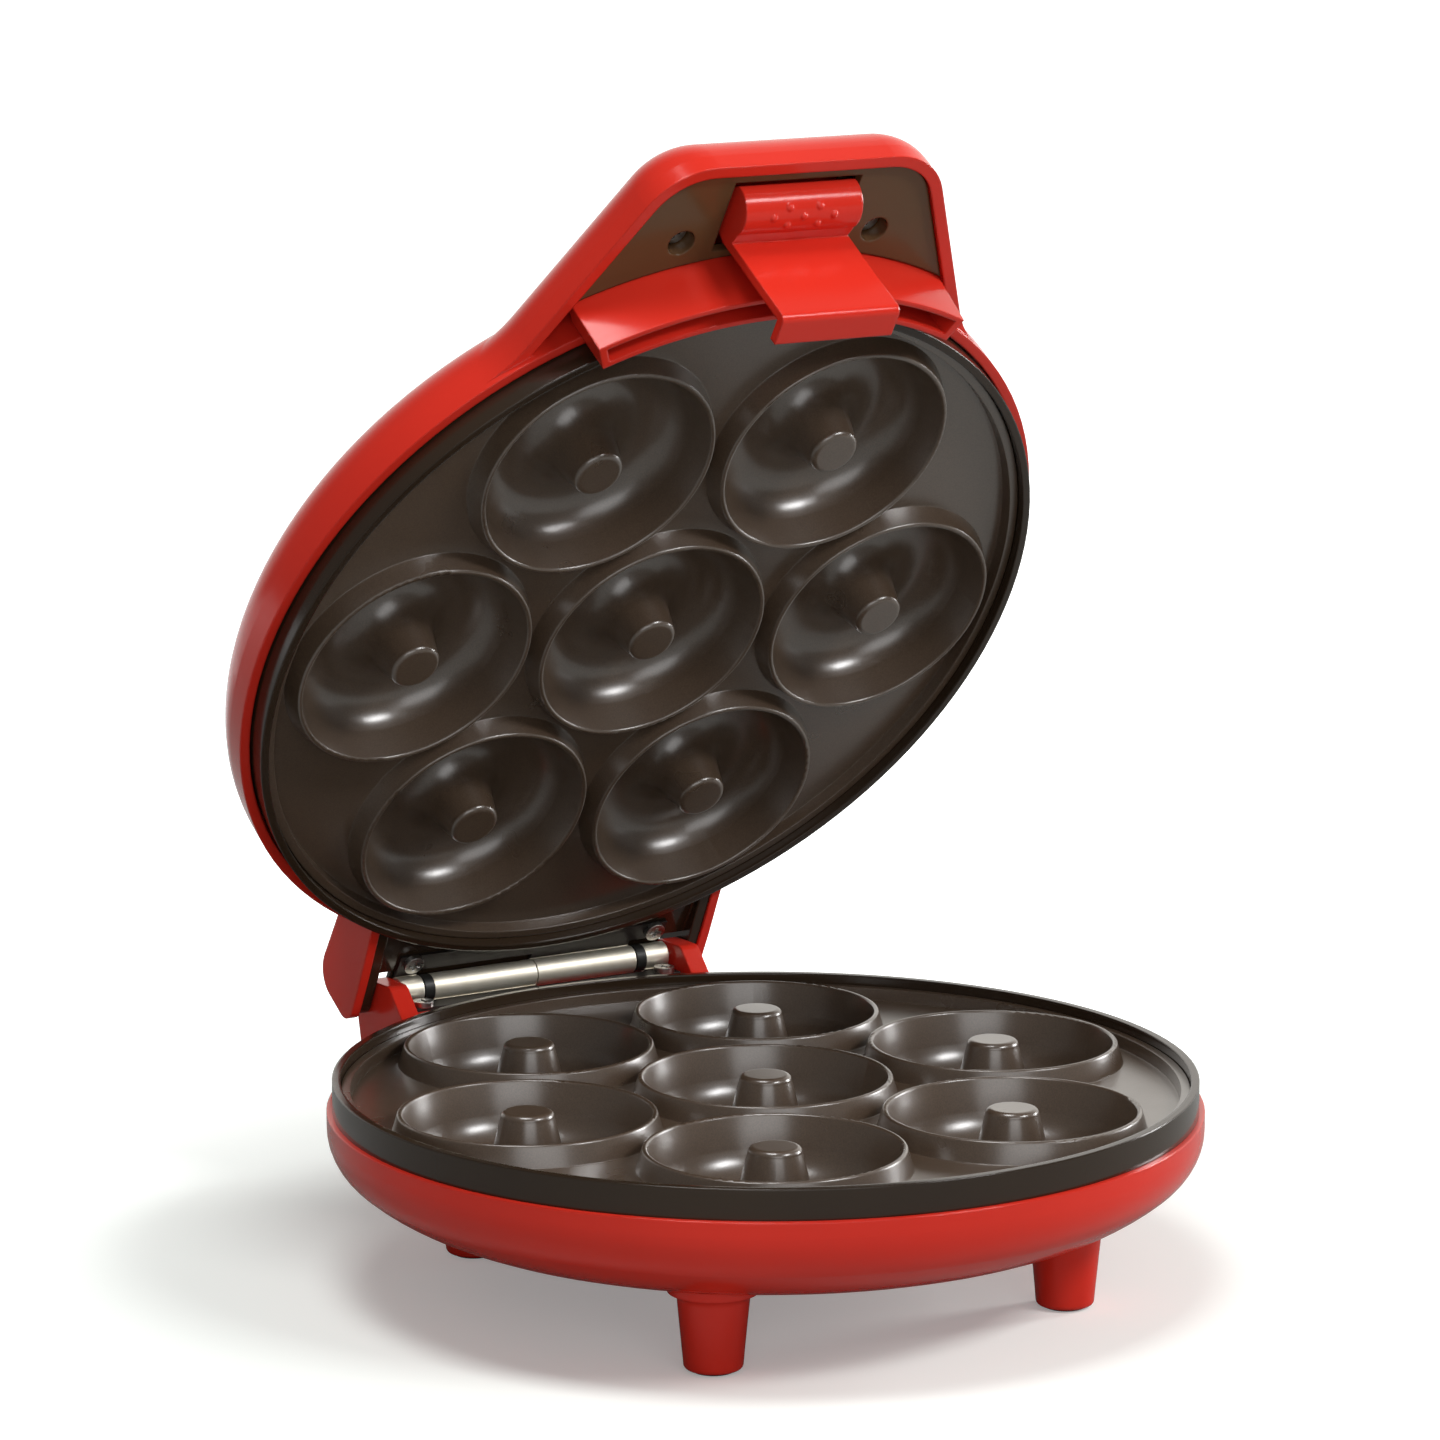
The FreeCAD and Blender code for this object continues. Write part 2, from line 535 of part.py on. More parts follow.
def base_shell():
    """The lower moulding: a bowl with four feet, and a block and two towers for the hinge."""
    body = new_body("base_shell")
    outer = bowl(*base_bowl, "0")
    feature(body, "Revolution", outline(body, "XZ_Plane",
            [("0", "-band_height"), ("base_radius", "-band_height")] + outer + [("0", base_bottom)]))
    block = outline(body, "YZ_Plane", [
        (bowl_inside, leaf_seat),
        (barrel_front, leaf_seat),
        (barrel_front, f"{leaf_seat} - hinge_well"),
        ("hinge_back + block_back - 3", f"{leaf_seat} - hinge_well"),
        ("hinge_back + block_back", f"{leaf_seat} - hinge_well - 3", "3", "right"),
        ("hinge_back + block_back", "-inlet_drop - inlet_radius - 1"),
        (bowl_inside, f"{base_bottom} + 5"),
    ])
    feature(body, "Pad", block, Length=f"2 * {tower_outer}", Midplane=True)
    for start in ("tower_inner", f"-{tower_outer}"):
        tower = outline(body, "YZ_Plane", [
            (bowl_inside, f"{leaf_seat} - 10"),
            (bowl_inside, f"{leaf_seat} - 4"),
            ("hinge_back - tower_front", f"{leaf_seat} - 1.5"),
            ("hinge_back - tower_front / 2 - 1", "hinge_rise + tower_rise - 1.3"),
            ("hinge_back - tower_front / 2 + 1.5", "hinge_rise + tower_rise", "3", "right"),
            ("hinge_back + 2", "hinge_rise + tower_rise"),
            ("hinge_back + tower_back", "hinge_rise + tower_rise - 7.6", "7.6", "right"),
            ("hinge_back + block_back", f"{leaf_seat} - 14"),
        ], ("0", "0", start))
        feature(body, "Pad", tower, Length="tower_sheet")
    room = "band_radius + fit_gap"
    high = "hinge_rise + tower_rise + 5"
    inner = bowl(*base_bowl, "shell_wall")
    feature(body, "Groove", outline(body, "XZ_Plane",
            [("0", high), (room, high), (room, "-band_height"), ("base_radius - shell_wall", "-band_height")]
            + inner + [("0", f"{base_bottom} + shell_wall")]))
    posts = [(f"boss_circle * cos({turn})", f"boss_circle * sin({turn})") for turn in LONG_TURNS]
    post_top = "(-shield_drop - shield_sheet)"
    feature(body, "Pad", rounds_at(body, posts, "post_size", post_top),
            Length=f"{post_top} - {base_bottom} - shell_wall / 2", Reversed=True)
    tip = "(pad_proud - parting_height)"
    foot = [
        ("0", f"{base_bottom} + 0.9 * shell_wall"),
        ("foot_top + foot_flare", f"{base_bottom} + 0.9 * shell_wall"),
        ("foot_top + foot_flare", base_bottom),
        ("foot_top", f"{base_bottom} - foot_flare", "foot_flare", "left"),
        ("foot_tip", f"{tip} + foot_round"),
        ("foot_tip - foot_round", tip, "foot_round", "right"),
        ("pad_radius + fit_gap", tip),
        ("pad_radius + fit_gap", f"{tip} + pad_sheet - pad_proud"),
        ("0", f"{tip} + pad_sheet - pad_proud"),
    ]
    for across in ("foot_across", "-foot_across"):
        for along in ("foot_along", "-foot_along"):
            feature(body, "Revolution", outline(body, "XZ_Plane", foot, (across, "0", along)))
    for radius, depth in (("screw_bore + fit_gap", post_top), ("screw_sink", f"{base_bottom} + shell_wall")):
        feature(body, "Pocket", rounds_at(body, posts, radius, depth), Length="parting_height")
    feature(body, "Pocket", circles(body, "YZ_Plane", [("hinge_back", "hinge_rise", "pin_radius")]),
            Length="2 * (tower_inner + 0.7 * tower_sheet)", Midplane=True)
    inlet = circles(body, "XZ_Plane", [("0", "-inlet_drop", "inlet_radius")], ("0", "0", "-hinge_back"))
    feature(body, "Pocket", inlet, Length=f"2 * (hinge_back - {bowl_inside})", Midplane=True)
    feature(body, "Pocket", rounds_at(body, leaf_screws, "screw_bore", leaf_seat), Length="leaf_screw_length")
    return body


lid_rim = "(rim_gap + lid_edge)"
lid_dome = ("lid_radius", lid_rim, "lid_wall", "lid_corner", "lid_turn", "lid_belly", True)
lid_top = f"({bowl(*lid_dome, '0')[-1][1]})"
insert_face = "(handle_face + insert_recess)"
insert_back = f"({insert_face} + insert_sheet)"
insert_edge = "(guard_top_radius + fit_gap)"
cup_back = f"({insert_back} + screw_cup)"
handle_top = "(handle_face + handle_height)"
handle_round = f"({handle_top} - {lid_rim} - lid_wall)"


def handle_outline(inset, start_radius=None):
    """Plan of the handle, set in from its outside: hollow sides that leave the round lid, then rounded
    corners. With a start radius it begins on that circle instead of on the lid."""
    hollow = f"(handle_blend + {inset})"
    centre = "(lid_radius + handle_blend)"
    leave = (f"(lid_radius - {inset}) * sin(handle_spread)", f"-(lid_radius - {inset}) * cos(handle_spread)")
    side_x = f"({centre} * sin(handle_spread) - {hollow} * cos(handle_taper))"
    side_y = f"({hollow} * sin(handle_taper) - {centre} * cos(handle_spread))"
    end = f"(handle_reach - {inset})"
    bend = f"(handle_corner - {inset})"
    cut_back = f"({bend} * tan((90 - handle_taper) / 2))"
    tip_x = f"({side_x} - ({end} + {side_y}) * tan(handle_taper))"
    turn_in = (f"{tip_x} + {cut_back} * sin(handle_taper)", f"{cut_back} * cos(handle_taper) - {end}")
    turn_out = (f"{tip_x} - {cut_back}", f"-{end}")
    if start_radius:
        inward = f"({side_x} * sin(handle_taper) + {side_y} * cos(handle_taper))"
        along = f"({inward} + sqrt({inward}^2 - {side_x}^2 - {side_y}^2 + {start_radius}^2))"
        first = [(f"{side_x} - {along} * sin(handle_taper)", f"{side_y} - {along} * cos(handle_taper)")]
        last = [mirrored(first[0])]
        first[0] += (start_radius, "left")
    else:
        first = [leave, (side_x, side_y, hollow, "left")]
        last = [mirrored((side_x, side_y)), mirrored(leave) + (hollow, "left")]
    tip = [turn_in, turn_out + (bend, "right"), mirrored(turn_out), mirrored(turn_in) + (bend, "right")]
    return first + tip + last


def mirrored(spot):
    """The same spot on the left side."""
    return (f"-({spot[0]})", spot[1])


def round_edges(body, height, radius):
    """Round the edges of the level face of a body that lies at a height."""
    def away(number):
        face = body.Shape.Faces[number]
        return abs(face.BoundBox.ZMax - height) + abs(face.BoundBox.ZMin - height)
    level = min(range(len(body.Shape.Faces)), key=away)
    base = body.Tip
    rounding = body.newObject("PartDesign::Fillet", f"{body.Label}_round")
    rounding.Base = (base, [f"Face{level + 1}"])
    rounding.setExpression("Radius", bound(radius))
    doc.recompute()


def lid_shell():
    """The upper moulding: a dome with a hollow handle in front and a block and two cheeks over the hinge."""
    body = new_body("lid_shell")
    plan = handle_outline("0")
    plan[0] += ("lid_radius", "right")
    feature(body, "Pad", outline(body, "XY_Plane", plan, ("0", "0", "handle_face")), Length="handle_height")
    round_edges(body, size(handle_top), handle_round)
    hollows = (("handle_wall", "handle_wall + handle_step"), ("(handle_wall + handle_ledge)", "handle_wall"))
    for inset, roof in hollows:
        hollow = outline(body, "XY_Plane", handle_outline(inset), ("0", "0", "handle_face"))
        feature(body, "Pocket", hollow, Length=f"handle_height - ({roof})", Reversed=True)
    feature(body, "Revolution", outline(body, "XZ_Plane",
            [("0", lid_rim), ("lid_radius", lid_rim)] + bowl(*lid_dome, "0")))
    block_top = "(hinge_rise + cheek_top)"
    block = outline(body, "YZ_Plane", [
        ("lid_radius - lid_corner", lid_rim),
        (barrel_front, lid_rim),
        (barrel_front, f"{block_top} - 4"),
        (f"{barrel_front} - 4", block_top, "4", "left"),
        ("lid_radius - lid_corner", block_top),
    ])
    feature(body, "Pad", block, Length="2 * (cheek_inner + shell_wall)", Midplane=True)
    cheek_end = "(hinge_back + cheek_back)"
    for start in ("cheek_inner", "-cheek_inner - shell_wall"):
        cheek = outline(body, "YZ_Plane", [
            ("lid_radius - lid_corner", f"{lid_rim} - 3.6"),
            ("hinge_back - 6", "hinge_rise - 0.2"),
            (f"{cheek_end} - 4", "hinge_rise - 1.2"),
            (cheek_end, "hinge_rise + 2.8", "4", "left"),
            (cheek_end, f"{block_top} - 7"),
            (f"{cheek_end} - 7", block_top, "7", "left"),
            ("lid_radius - lid_corner", block_top),
        ], ("0", "0", start))
        feature(body, "Pad", cheek, Length="shell_wall")
    shoulder = "(band_radius - band_lip + 0.6)"
    inner = bowl(*lid_dome, "shell_wall")
    bend_z = bowl(*lid_dome, "0")[0][1]
    shoulder_top = f"{bend_z} + sqrt((lid_corner - shell_wall)^2 - ({shoulder} - lid_radius + lid_corner)^2)"
    feature(body, "Groove", outline(body, "XZ_Plane", [
        ("0", f"{lid_rim} - 6"),
        ("lid_radius - shell_wall", f"{lid_rim} - 6"),
        ("lid_radius - shell_wall", "rim_gap + spigot_depth + pin_play"),
        (shoulder, "rim_gap + spigot_depth + pin_play"),
        (shoulder, shoulder_top),
    ] + inner[1:]))
    feature(body, "Pad", rounds_at(body, handle_screws, "post_size", cup_back),
            Length=f"{handle_top} - handle_wall / 2 - {cup_back}")
    feature(body, "Pocket", rounds_at(body, handle_screws, "screw_bore", cup_back),
            Length="handle_screw_length", Reversed=True)
    feature(body, "Pocket", rounds_at(body, leaf_screws, "screw_bore", lid_rim),
            Length="leaf_screw_length", Reversed=True)
    feature(body, "Pocket", rounds_at(body, lenses, "lens_radius + pin_play", lid_top),
            Length="2 * lid_corner", Midplane=True)
    return body


def lid_bezel():
    """The dark band of the lid with a shelf and a round cover over the hinge and a lining inside each cheek."""
    body = new_body("lid_bezel")
    turned = []
    for x, z in band_profile("band_radius - band_lip + 0.6"):
        turned.append((x, f"rim_gap - ({z})"))
    feature(body, "Revolution", outline(body, "XZ_Plane", turned))
    half = "(cheek_inner - fit_gap / 2)"
    start = f"sqrt((band_radius - 1)^2 - {half}^2)"
    low, high = "(hinge_rise + knuckle_radius)", f"({lid_rim} - fit_gap / 2)"
    feature(body, "Pad", outline(body, "XY_Plane", [
        (half, start, "band_radius - 1", "right"),
        (half, barrel_front),
        (f"-{half}", barrel_front),
        (f"-{half}", start),
    ], ("0", "0", low)), Length=f"{high} - {low}")
    inside, outside = "(knuckle_radius + cover_gap)", "(knuckle_radius + cover_gap + cover_sheet)"
    feature(body, "Pad", outline(body, "YZ_Plane", [
        (barrel_front, f"hinge_rise + {outside}"),
        ("hinge_back", f"hinge_rise + {outside}"),
        (f"hinge_back + {outside}", "hinge_rise", outside, "right"),
        (f"hinge_back + {inside}", "hinge_rise"),
        ("hinge_back", f"hinge_rise + {inside}", inside, "left"),
        (f"{barrel_front} - 1", f"hinge_rise + {inside}"),
        (f"{barrel_front} - 1", f"hinge_rise + {outside}"),
    ]), Length="2 * (tower_inner - swing_gap)", Midplane=True)
    lining_end = "(hinge_back + cheek_back - 0.6)"
    for first in (f"{half} - cheek_lining", f"-{half}"):
        lining = outline(body, "YZ_Plane", [
            (f"{start} + 1", high),
            (f"{start} + 1", f"{low} - 1.2"),
            ("hinge_back - 6", "hinge_rise + 0.4"),
            (f"{lining_end} - 4", "hinge_rise - 0.6"),
            (lining_end, "hinge_rise + 3.4", "4", "left"),
            (lining_end, "hinge_rise + cheek_top - 7"),
            (f"{barrel_front} + fit_gap", "hinge_rise + cheek_top - 3"),
            (f"{barrel_front} + fit_gap", high),
        ], ("0", "0", first))
        feature(body, "Pad", lining, Length="cheek_lining")
    feature(body, "Pocket", rounds_at(body, leaf_screws, "screw_bore", low),
            Length="leaf_screw_length", Reversed=True)
    return body


def hinge_leaf(label, spans, high):
    """A leaf of sheet with rolled knuckles between the given places along the hinge."""
    back, rise, reach = size("hinge_back"), size("hinge_rise"), size("leaf_reach")
    barrel, leaf, half = size("knuckle_radius"), size("leaf_sheet"), size("leaf_half")
    low = rise + barrel - leaf if high else rise - barrel
    front = size(barrel_front)
    shape = Part.makeBox(2 * half, front - (back - reach), leaf, Vector(-half, back - reach, low))
    for start, end in spans:
        shape = shape.fuse(Part.makeBox(end - start, back - front, leaf, Vector(start, front, low)))
        shape = shape.fuse(cylinder(barrel, Vector(start, back, rise), end - start, SIDEWAYS))
    bore = size("pin_radius + pin_play") if high else size("pin_radius")
    shape = shape.cut(cylinder(bore, Vector(-2 * half, back, rise), 4 * half, SIDEWAYS))
    for x, y in leaf_screws:
        shape = shape.cut(cylinder(size("screw_bore"), Vector(size(x), size(y), low - leaf), 3 * leaf))
    return solid(label, shape.removeSplitter())


def leaf_screw_pair(label, seat, along):
    """The two screws of a hinge leaf."""
    shank, length = size("screw_bore - pin_play"), size("leaf_screw_length")
    spots = [Vector(size(x), size(y), seat) for x, y in leaf_screws]
    made = [screw(spot, along, length, LEAF_SCREW_HEAD, shank) for spot in spots]
    return solid(label, Part.makeCompound(made))


def handle_guard():
    """A curved apron below the handle, hollow from beneath, that shields fingers from the hot rim. It ends
    where the sides of the insert meet it."""
    body = new_body("handle_guard")
    inner = "(lid_radius + fit_gap / 2)"
    insert_corner = handle_outline("(handle_wall + fit_gap)", insert_edge)[0]
    half_turn = f"(asin(({insert_corner[0]}) / {insert_edge}) / 1 deg)"
    feature(body, "Revolution", outline(body, "YZ_Plane", [
        (f"-{inner}", "-guard_drop"),
        ("-guard_tip_radius", "-guard_drop"),
        ("-guard_top_radius", insert_back),
        (f"-{inner}", insert_back),
    ]), Angle=f"2 * {half_turn}", Midplane=True)
    roof = f"({insert_face} - insert_sheet)"
    feature(body, "Groove", outline(body, "YZ_Plane", [
        (f"-{inner} - guard_wall", "-guard_drop - 1"),
        ("guard_wall - guard_tip_radius", "-guard_drop - 1"),
        ("guard_wall - guard_top_radius", roof),
        (f"-{inner} - guard_wall", roof),
    ]), Angle=f"2 * {half_turn} - 2 * guard_cap_turn", Midplane=True)
    return body


def handle_insert():
    """The plate that closes the handle from below, notched for the latch, with screw cups and pin ears."""
    body = new_body("handle_insert")
    plan = handle_outline("(handle_wall + fit_gap)", insert_edge)
    feature(body, "Pad", outline(body, "XY_Plane", plan, ("0", "0", insert_face)), Length="insert_sheet")
    notch = "(latch_half + notch_gap)"
    front, rear = "(-latch_pivot_reach - roll_reach - notch_gap)", "(-latch_pivot_reach + 8)"
    feature(body, "Pocket", outline(body, "XY_Plane", [
        (f"-{notch}", front), (notch, front), (notch, rear), (f"-{notch}", rear)], ("0", "0", insert_face)),
        Length="2 * insert_sheet", Reversed=True)
    ear = "(latch_barrel + 1.2)"
    for first in (f"{notch} + fit_gap", f"-{notch} - fit_gap - ear_sheet"):
        feature(body, "Pad", outline(body, "YZ_Plane", [
            (f"-latch_pivot_reach - {ear}", f"{insert_back} - insert_sheet / 2"),
            (f"-latch_pivot_reach + {ear}", f"{insert_back} - insert_sheet / 2"),
            (f"-latch_pivot_reach + {ear}", f"latch_pivot_rise + {ear}"),
            (f"-latch_pivot_reach - {ear}", f"latch_pivot_rise + {ear}"),
        ], ("0", "0", first)), Length="ear_sheet")
    feature(body, "Pad", rounds_at(body, handle_screws, "post_size", cup_back),
            Length="screw_cup + insert_sheet / 2", Reversed=True)
    cup = ("screw_bore + 1.8", "insert_sheet + screw_cup - clamp_sheet")
    for radius, depth in (cup, ("screw_bore", "2 * handle_height")):
        holes = rounds_at(body, handle_screws, radius, insert_face)
        feature(body, "Pocket", holes, Length=depth, Reversed=True)
    pivot = circles(body, "YZ_Plane", [("-latch_pivot_reach", "latch_pivot_rise", "latch_pin")])
    feature(body, "Pocket", pivot, Length="4 * latch_half", Midplane=True)
    return body


def latch():
    """A hooked plate that hangs from a pin inside the handle, with a finger roll in front."""
    body = new_body("latch")
    pivot_y, pivot_z = "-latch_pivot_reach", "latch_pivot_rise"
    outer = f"({pivot_y} + latch_barrel - 0.6)"
    inner = f"({outer} + latch_sheet)"
    foot = f"({pivot_z} - latch_drop)"
    run, rise = "(roll_reach - crease_out)", "(crease_drop - roll_drop)"
    roll = f"(roll_fullness * sqrt({run}^2 + {rise}^2) / 2)"
    feature(body, "Pad", outline(body, "YZ_Plane", [
        (pivot_y, f"{pivot_z} + latch_barrel", "latch_barrel", "right"),
        (f"{pivot_y} + latch_barrel", pivot_z, "latch_barrel", "right"),
        (inner, f"{pivot_z} - 5"),
        (inner, f"{foot} + latch_sheet"),
        (f"{outer} + latch_lip", f"{foot} + latch_sheet"),
        (f"{outer} + latch_lip", foot),
        (f"{outer} + 0.8 * latch_sheet", foot),
        (outer, f"{foot} + 0.8 * latch_sheet", "0.8 * latch_sheet", "right"),
        (outer, f"{pivot_z} - crease_drop + 1"),
        (f"{pivot_y} - crease_out", f"{pivot_z} - crease_drop"),
        (f"{pivot_y} - roll_reach", f"{pivot_z} - roll_drop", roll, "right"),
        (f"{pivot_y} - roll_reach + 1", f"{pivot_z} - roll_drop + 1.4"),
        (f"{pivot_y} - latch_barrel", pivot_z),
    ]), Length="2 * latch_half", Midplane=True)
    feature(body, "Pocket", circles(body, "YZ_Plane", [(pivot_y, pivot_z, "latch_pin + pin_play")]),
            Length="4 * latch_half", Midplane=True)
    bulge = "sqrt(roll_fullness^2 - 1) / 2"
    roll_y = f"{pivot_y} - (roll_reach + crease_out) / 2 + {rise} * {bulge}"
    roll_z = f"{pivot_z} - (crease_drop + roll_drop) / 2 + {run} * {bulge}"
    for turn, count in DOT_ROWS:
        for number in range(count):
            dot = body.newObject("PartDesign::AdditiveSphere", "latch_dot")
            dot.AttachmentSupport = [(origin(body, "XY_Plane"), "")]
            dot.MapMode = "FlatFace"
            dot.setExpression("Radius", bound("dot_radius"))
            dot.setExpression("AttachmentOffset.Base.x", bound(f"({number} - {(count - 1) / 2}) * dot_pitch"))
            dot.setExpression("AttachmentOffset.Base.y", bound(f"{roll_y} + ({roll} - dot_sink) * cos({turn})"))
            dot.setExpression("AttachmentOffset.Base.z", bound(f"{roll_z} + ({roll} - dot_sink) * sin({turn})"))
            doc.recompute()
    return body


def base_bezel():
    body = new_body("base_bezel")
    feature(body, "Revolution", outline(body, "XZ_Plane", band_profile("band_radius - ledge_width")))
    return body


def foot_pads():
    """Four rubber discs, one in the tip of each foot."""
    made = []
    for across in (size("foot_across"), -size("foot_across")):
        for along in (size("foot_along"), -size("foot_along")):
            spot = Vector(across, along, -size("parting_height"))
            made.append(cylinder(size("pad_radius"), spot, size("pad_sheet")))
    return solid("foot_pads", Part.makeCompound(made))


def thermostat():
    """A round can under the rear boss of the lower plate."""
    high = size(f"{under_floor} - short_boss")
    spot = Vector(0, size("boss_circle"), high)
    return solid("thermostat", cylinder(size("thermostat_radius"), spot, size("thermostat_height"), -UP))


def thermal_fuse():
    """A small round fuse that lies on the heat shield."""
    length, radius = size("fuse_length"), size("fuse_radius")
    along = size("boss_circle - boss_radius - fuse_radius")
    start = Vector(-size("fuse_across") - length / 2, along, radius - size("shield_drop"))
    return solid("thermal_fuse", cylinder(radius, start, length, SIDEWAYS))


def cord_inlet_bush():
    """A flanged bush through the hinge block."""
    outer, flange = size("inlet_radius"), size("bush_flange")
    start, face = size("base_radius - shell_wall"), size("hinge_back + block_back")
    spot = Vector(0, start, -size("inlet_drop"))
    bush = cylinder(outer, spot, face - start, BACKWARDS)
    bush = bush.fuse(cylinder(outer + flange, spot + BACKWARDS * (face - start), flange, BACKWARDS))
    bush = bush.cut(cylinder(size("bush_bore"), spot - BACKWARDS, face - start + 2 * flange + 1, BACKWARDS))
    return solid("cord_inlet_bush", bush.removeSplitter())


def hinge_pieces():
    """Two leaves whose knuckles share a pin, with a washer on each side."""
    half, gap = size("leaf_half"), size("knuckle_gap")
    far = half - size("end_knuckle")
    near = far - size("washer_width")
    base_leaf = hinge_leaf("base_hinge_leaf", [(-near, 0), (far, half)], False)
    lid_leaf = hinge_leaf("lid_hinge_leaf", [(-half, -far - gap), (gap, near - gap)], True)
    axis = Vector(0, size("hinge_back"), size("hinge_rise"))
    length = size("tower_inner + 0.65 * tower_sheet")
    pin = solid("hinge_pin", cylinder(size("pin_radius"), axis - SIDEWAYS * length, 2 * length, SIDEWAYS))
    washers = []
    for start in (-far, near):
        washer = cylinder(size("knuckle_radius"), axis + SIDEWAYS * start, far - near, SIDEWAYS)
        hole = cylinder(size("pin_radius"), axis + SIDEWAYS * (start - 1), far - near + 2, SIDEWAYS)
        washers.append(washer.cut(hole))
    return base_leaf, lid_leaf, pin, solid("hinge_washers", Part.makeCompound(washers))


def lens(label, spot):
    """An indicator lens through the top of the lid."""
    x, y = size(spot[0]), size(spot[1])
    high = size(f"{lid_top} - lid_belly + sqrt(lid_belly^2 - lens_reach^2) + lens_proud")
    made = cylinder(size("lens_radius"), Vector(x, y, high - LENS_LENGTH), LENS_LENGTH)
    made = made.makeFillet(LENS_ROUND, [edge for edge in made.Edges if edge.BoundBox.ZMin > high - 0.1])
    return solid(label, made), Vector(x, y, high - LENS_LENGTH)


# Base pieces
base_pieces = [base_shell(), foot_pads(), base_bezel(), plate("lower_plate"), heating_element("lower_element"),
               clamps("lower_element_clamps"), heat_shield("lower_heat_shield"), thermostat(), thermal_fuse(),
               cord_inlet_bush()]
clamp_seat = size(f"{under_floor} - short_boss - clamp_sheet")
base_pieces.append(boss_screws("lower_clamp_screws", SHORT_TURNS[1:], clamp_seat, size("clamp_screw_length")))
base_pieces.append(boss_screws("base_screws", LONG_TURNS, size(f"{base_bottom} + shell_wall"),
                               size("base_screw_length")))
base_leaf, lid_leaf, pin, washers = hinge_pieces()
base_pieces += [base_leaf, pin, washers]
base_pieces.append(leaf_screw_pair("base_hinge_screws", size(f"{leaf_seat} + leaf_sheet"), -UP))

# Lid pieces, those of the upper plate drawn rim up and turned over
power_lens, power_foot = lens("power_lens", lenses[1])
ready_lens, ready_foot = lens("ready_lens", lenses[0])
lamps = []
for foot in (power_foot, ready_foot):
    lamps.append(cylinder(size("lens_radius - 1"), foot - UP * LAMP_LENGTH, LAMP_LENGTH))
lid_pieces = [lid_shell(), lid_bezel(), handle_guard(), handle_insert(), lid_leaf, power_lens, ready_lens]
lid_pieces.append(solid("indicator_lamps", Part.makeCompound(lamps)))
lid_pieces.append(leaf_screw_pair("lid_hinge_screws", size("hinge_rise + knuckle_radius - leaf_sheet"), UP))
cup_seat = size(f"{cup_back} - clamp_sheet")
head, shank, length = size("screw_bore + 1.4"), size("screw_bore - pin_play"), size("handle_screw_length")
driven = [screw(Vector(size(x), size(y), cup_seat), UP, length, head, shank) for x, y in handle_screws]
lid_pieces.append(solid("handle_screws", Part.makeCompound(driven)))
pin_half = size("latch_half + notch_gap + fit_gap + ear_sheet")
pin_start = Vector(-pin_half, -size("latch_pivot_reach"), size("latch_pivot_rise"))
lid_pieces.append(solid("latch_pin", cylinder(size("latch_pin"), pin_start, 2 * pin_half, SIDEWAYS)))
lid_pieces.append(latch())
turned_pieces = [plate("upper_plate"), heating_element("upper_element"), clamps("upper_element_clamps"),
                 heat_shield("upper_heat_shield"),
                 boss_screws("upper_clamp_screws", SHORT_TURNS[1:], clamp_seat, size("clamp_screw_length")),
                 boss_screws("upper_shield_screws", LONG_TURNS, size("-shield_drop - shield_sheet"),
                             size("shield_screw_length"))]

# Swing the lid open, then set everything down with the origin under the middle of the box
hinge = Vector(0, size("hinge_back"), size("hinge_rise"))
opened = Placement(Vector(), Rotation(SIDEWAYS, -size("open_angle")), hinge)
turned = Placement(Vector(0, 0, size("rim_gap")), Rotation(SIDEWAYS, 180))
for piece in lid_pieces:
    piece.Placement = opened
for piece in turned_pieces:
    piece.Placement = opened * turned
pieces = base_pieces + lid_pieces + turned_pieces
doc.recompute()
box = Part.makeCompound([piece.Shape for piece in pieces]).optimalBoundingBox(False, False)
set_down = Placement(Vector(-box.Center.x, -box.Center.y, size("parting_height")), Rotation())
for piece in pieces:
    piece.Placement = set_down * piece.Placement
doc.recompute()

for item in doc.Objects:
    if "Invalid" in item.State or "Error" in item.State:
        raise RuntimeError(f"{item.Label} is not built: {item.State}")
os.makedirs("parts", exist_ok=True)
for piece in pieces:
    if piece.Shape.isNull() or not piece.Shape.isValid():
        raise RuntimeError(f"{piece.Label} has no sound shape")
    piece.Shape.exportStep(f"parts/{piece.Label}.step")
    print(piece.Label, len(piece.Shape.Solids), "solids", round(piece.Shape.Volume / 1000, 2), "cm3")
latch_axis = opened.multVec(Vector(0, -size("latch_pivot_reach"), size("latch_pivot_rise")))
print("box", box.XLength, box.YLength, box.ZLength)
for name, spot in (("lid_hinge", hinge), ("latch_pivot", latch_axis), ("plate axis", Vector())):
    print(name, [round(value / 1000, 6) for value in set_down.multVec(spot)])
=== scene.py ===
# %% [markdown]
# # A donut maker, dressed
#
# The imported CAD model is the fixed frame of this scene. Its solids already have the shapes of the real
# maker, so every node stays as it is and gets a procedural material. What is made here is the finish of
# each surface, the camera, and a small studio of floor, room and lamps.

# %% Load the frame
import json
import math
import bpy
import numpy as np
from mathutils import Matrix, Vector

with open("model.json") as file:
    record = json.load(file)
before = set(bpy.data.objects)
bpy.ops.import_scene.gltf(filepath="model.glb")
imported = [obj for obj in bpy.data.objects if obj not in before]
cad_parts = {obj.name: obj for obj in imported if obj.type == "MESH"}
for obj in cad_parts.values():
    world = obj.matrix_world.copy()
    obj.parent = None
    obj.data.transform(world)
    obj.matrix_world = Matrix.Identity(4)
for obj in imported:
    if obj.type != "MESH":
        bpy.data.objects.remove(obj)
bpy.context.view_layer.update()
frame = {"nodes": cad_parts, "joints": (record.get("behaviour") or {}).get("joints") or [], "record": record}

scene = bpy.context.scene
nodes = frame["nodes"]

